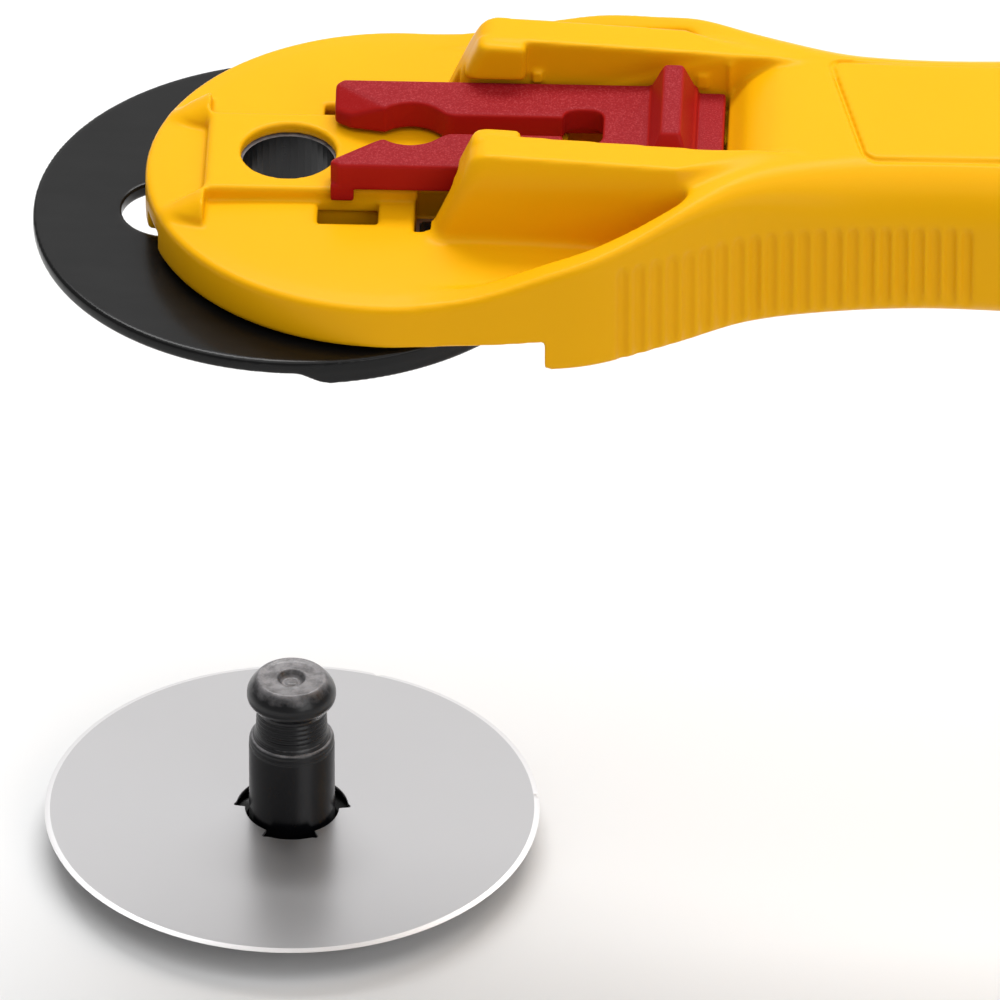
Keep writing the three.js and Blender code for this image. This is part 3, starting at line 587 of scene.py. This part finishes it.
# ---- materials ----
class Nodes:
    """Small helper that adds shader nodes and links them by socket name."""

    def __init__(self, name):
        self.material = bpy.data.materials.new(name)
        self.material.use_nodes = True
        self.tree = self.material.node_tree
        self.shader = self.tree.nodes["Principled BSDF"]
        self.where = self.add("ShaderNodeTexCoord").outputs["Object"]

    def add(self, kind, inputs=None, **settings):
        node = self.tree.nodes.new(kind)
        for key, value in settings.items():
            setattr(node, key, value)
        for key, value in (inputs or {}).items():
            if isinstance(value, bpy.types.NodeSocket):
                self.tree.links.new(value, node.inputs[key])
            else:
                node.inputs[key].default_value = value
        return node

    def noise(self, scale, detail=4.0, roughness=0.55, stretch=None):
        where = self.where
        if stretch:
            where = self.add("ShaderNodeMapping", {"Vector": where, "Scale": stretch}).outputs[0]
        settings = {"Vector": where, "Scale": scale, "Detail": detail, "Roughness": roughness}
        return self.add("ShaderNodeTexNoise", settings).outputs["Fac"]

    def ramp(self, value, stops):
        node = self.add("ShaderNodeValToRGB", {"Fac": value})
        elements = node.color_ramp.elements
        while len(elements) < len(stops):
            elements.new(0.5)
        for element, (place, colour) in zip(elements, stops):
            element.position = place
            element.color = (*colour, 1)
        return node.outputs["Color"]

    def from_range(self, value, start, end):
        """From 0 where the value is start to 1 where it is end."""
        inputs = {"Value": value, "From Min": start, "From Max": end}
        return self.add("ShaderNodeMapRange", inputs).outputs["Result"]

    def facing_up(self, start, end):
        """From 0 on steep faces to 1 on those that look up; start and end are the normal's height."""
        normal = self.add("ShaderNodeNewGeometry").outputs["Normal"]
        height = self.add("ShaderNodeSeparateXYZ", {"Vector": normal}).outputs["Z"]
        return self.from_range(height, start, end)

    def scaled(self, value, low, high):
        inputs = {"Value": value, "To Min": low, "To Max": high}
        return self.add("ShaderNodeMapRange", inputs).outputs["Result"]

    def mix(self, factor, a, b):
        node = self.tree.nodes.new("ShaderNodeMix")
        node.data_type = "RGBA"
        for socket, value in zip((node.inputs[0], node.inputs[6], node.inputs[7]), (factor, a, b)):
            if isinstance(value, bpy.types.NodeSocket):
                self.tree.links.new(value, socket)
            else:
                socket.default_value = value if isinstance(value, float) else (*value, 1)
        return node.outputs[2]

    def bump(self, heights):
        """Bump from a list of (height socket, strength, distance in metres)."""
        normal = None
        for height, strength, distance in heights:
            inputs = {"Height": height, "Strength": strength, "Distance": distance}
            if normal:
                inputs["Normal"] = normal
            normal = self.add("ShaderNodeBump", inputs).outputs["Normal"]
        self.link("Normal", normal)

    def link(self, socket, value):
        self.tree.links.new(value, self.shader.inputs[socket])

    def set(self, **values):
        for key, value in values.items():
            self.shader.inputs[key.replace("_", " ")].default_value = value


def yellow_plastic():
    m = Nodes("yellow_plastic_moulded")
    drift = m.noise(18, 3)
    fine = m.noise(2600, 3, 0.6)
    peel = m.noise(520, 2, 0.5)
    m.link("Base Color", m.ramp(drift, [(0.3, (0.77, 0.375, 0.002)), (0.7, (0.8, 0.395, 0.003))]))
    m.link("Roughness", m.scaled(m.noise(240, 4), 0.26, 0.36))
    m.bump([(peel, 0.12, 0.00008), (fine, 0.1, 0.00002)])
    m.set(Subsurface_Weight=0.06, Subsurface_Radius=(1.0, 0.4, 0.05), Subsurface_Scale=0.0007)
    m.set(IOR=1.5, Specular_IOR_Level=0.07)
    return m.material


def red_plastic():
    """Fine spark-eroded grain on faces that look up, and smoother sides."""
    m = Nodes("red_plastic_grained")
    upward = m.facing_up(0.7, 0.97)
    grain = m.noise(6500, 3, 0.7)
    speck = m.ramp(grain, [(0.5, (0, 0, 0)), (0.68, (1, 1, 1))])
    dull = m.ramp(m.noise(60, 3), [(0.3, (0.34, 0.008, 0.007)), (0.7, (0.38, 0.011, 0.009))])
    frosted = m.mix(speck, (0.25, 0.005, 0.009), (0.4, 0.04, 0.045))
    m.link("Base Color", m.mix(upward, dull, frosted))
    m.link("Roughness", m.scaled(upward, 0.38, 0.55))
    m.bump([(grain, 0.25, 0.00004)])
    m.set(Subsurface_Weight=0.06, Subsurface_Radius=(1.0, 0.15, 0.1), Subsurface_Scale=0.0006)
    m.set(Specular_IOR_Level=0.09)
    return m.material


def black_plastic():
    m = Nodes("black_plastic_satin")
    scuff = m.noise(90, 6, 0.65, (1, 7, 7))
    m.link("Base Color", m.ramp(scuff, [(0.35, (0.004, 0.004, 0.004)), (0.75, (0.007, 0.007, 0.007))]))
    m.link("Roughness", m.scaled(m.noise(300, 5), 0.18, 0.27))
    m.bump([(m.noise(1900, 3, 0.6), 0.14, 0.00003), (scuff, 0.05, 0.00004)])
    m.set(Specular_IOR_Level=0.2)
    return m.material


def blade_steel():
    """Ground flat steel, with a rougher, less metallic bevel whose lighter colour is a painted highlight
    round the rim.
    """
    m = Nodes("blade_steel_ground")
    bevel_start = (BLADE_RADIUS - BEVEL) / 1000
    where = m.add("ShaderNodeSeparateXYZ", {"Vector": m.where})
    radius_x = m.add("ShaderNodeMath", {0: where.outputs["X"], 1: GRIP_CENTRE[0] / 1000}, operation="ADD")
    flat = m.add("ShaderNodeCombineXYZ", {"X": radius_x.outputs[0], "Y": where.outputs["Y"]})
    radius = m.add("ShaderNodeVectorMath", {0: flat.outputs[0]}, operation="LENGTH").outputs["Value"]
    lines = m.noise(420, 8, 0.75, (1, 22, 1))
    cloud = m.noise(60, 5, 0.6)
    edge = m.from_range(radius, bevel_start - 0.00002, bevel_start + 0.00004)
    base = m.mix(cloud, (0.49, 0.483, 0.489), (0.515, 0.508, 0.514))
    # the bevel ring's lighter colour is a painted highlight; its rougher, less metallic finish is real
    m.link("Base Color", m.mix(edge, base, (0.74, 0.73, 0.735)))
    m.link("Metallic", m.scaled(edge, 0.78, 0.7))
    m.link("Roughness", m.scaled(edge, m.scaled(lines, 0.27, 0.3), 0.5))
    m.bump([(lines, 0.02, 0.00002)])
    return m.material


def pin_black():
    m = Nodes("pin_black_coated")
    worn = m.noise(900, 5, 0.6)
    # the coating is rubbed off in patches on what looks up
    rubbed = m.add("ShaderNodeMath", {0: m.facing_up(0.35, 0.95), 1: worn}, operation="MULTIPLY").outputs[0]
    m.link("Base Color", m.ramp(rubbed, [(0.14, (0.002, 0.002, 0.003)), (0.6, (0.3, 0.29, 0.3))]))
    m.link("Roughness", m.scaled(worn, 0.22, 0.4))
    turning = m.noise(700, 4, 0.6, (0.15, 0.15, 6))
    m.bump([(turning, 0.12, 0.00003), (worn, 0.18, 0.00004)])
    m.set(Specular_IOR_Level=0.35, Coat_Weight=0.1, Coat_Roughness=0.2)
    return m.material


def spring_steel():
    m = Nodes("spring_steel_satin")
    lines = m.noise(700, 6, 0.7, (1, 14, 14))
    m.link("Base Color", m.ramp(lines, [(0.3, (0.36, 0.36, 0.37)), (0.7, (0.5, 0.5, 0.51))]))
    m.link("Roughness", m.scaled(lines, 0.28, 0.44))
    m.bump([(lines, 0.08, 0.00002)])
    m.set(Metallic=1.0)
    return m.material


yellow, red, black = yellow_plastic(), red_plastic(), black_plastic()
steel, pin_coat, spring = blade_steel(), pin_black(), spring_steel()


def stands_for(piece, body, node, material):
    piece.data.materials.append(material)
    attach(piece, body)
    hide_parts(node)


stands_for(make_handle(), "handle", "handle_body", yellow)
stands_for(make_slider(), "lock", "lock_slider", red)
stands_for(make_guard(), "guard", "guard_plate", black)
stands_for(make_blade(), "blade", "blade", steel)
stands_for(make_pin(), "pin", "pin_stud", pin_coat)
stands_for(make_cap(), "pin", "pin_base_cap", black)

# every CAD node gets a material, and those that a piece stands for stay hidden
for node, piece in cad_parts.items():
    finish = {"handle_base_cover": yellow, "pin_bushing": pin_coat}.get(node, spring)
    for material_slot in piece.material_slots:
        material_slot.material = finish


# ---- stage, light and camera ----
def make_floor():
    size, gap = 3.0, 0.0002
    floor_height = float(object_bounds()[0][2])
    mesh = bpy.data.meshes.new("floor")
    corners = [(-size, -size, 0), (size, -size, 0), (size, size, 0), (-size, size, 0)]
    mesh.from_pydata(corners, [], [(0, 1, 2, 3)])
    floor = bpy.data.objects.new("floor", mesh)
    floor.location = (0, 0, floor_height - gap)
    bpy.context.scene.collection.objects.link(floor)
    m = Nodes("floor_paper")
    m.link("Base Color", m.ramp(m.noise(3, 2), [(0.0, (0.78, 0.78, 0.78)), (1.0, (0.8, 0.8, 0.8))]))
    m.set(Roughness=0.8)
    mesh.materials.append(m.material)


def area_light(name, place, aim, size, power):
    light = bpy.data.lights.new(name, "AREA")
    light.shape = "RECTANGLE"
    light.size, light.size_y = size
    light.energy = power
    lamp = bpy.data.objects.new(name, light)
    lamp.location = place
    lamp.rotation_euler = (Vector(aim) - Vector(place)).to_track_quat("-Z", "Y").to_euler()
    bpy.context.scene.collection.objects.link(lamp)


def make_light():
    world = bpy.data.worlds.new("studio")
    world.use_nodes = True
    world.node_tree.nodes["Background"].inputs["Color"].default_value = (1, 1, 1, 1)
    world.node_tree.nodes["Background"].inputs["Strength"].default_value = 0.35
    bpy.context.scene.world = world
    centre = (-0.08, 0, -0.02)
    area_light("key_light", (-0.06, 0.46, 0.78), centre, (0.8, 0.25), 6.3)
    area_light("overhead_light", (0, -0.1, 1.0), centre, (1.2, 1.2), 6.8)
    area_light("fill_light", (0.6, -0.9, 0.5), centre, (0.7, 0.7), 3.2)
    area_light("back_card", (0, 1.2, 0.8), centre, (1.8, 1.2), 3.8)


def make_camera():
    elevation, yaw = math.radians(34.8), math.radians(2.0)
    distance, view_width = 2.4, 0.0901
    target = Vector(to_row((18.9, 0, -31.4)))
    away = Vector((
        math.sin(yaw) * math.cos(elevation),
        -math.cos(yaw) * math.cos(elevation),
        math.sin(elevation),
    ))
    camera = bpy.data.objects.new("camera", bpy.data.cameras.new("camera"))
    camera.data.lens = camera.data.sensor_width * distance / view_width
    camera.data.clip_start = 0.05
    camera.location = target + away * distance
    camera.rotation_euler = (-away).to_track_quat("-Z", "Y").to_euler()
    bpy.context.scene.collection.objects.link(camera)
    bpy.context.scene.camera = camera


make_floor()
make_light()
make_camera()
bpy.context.scene.view_settings.view_transform = "Standard"
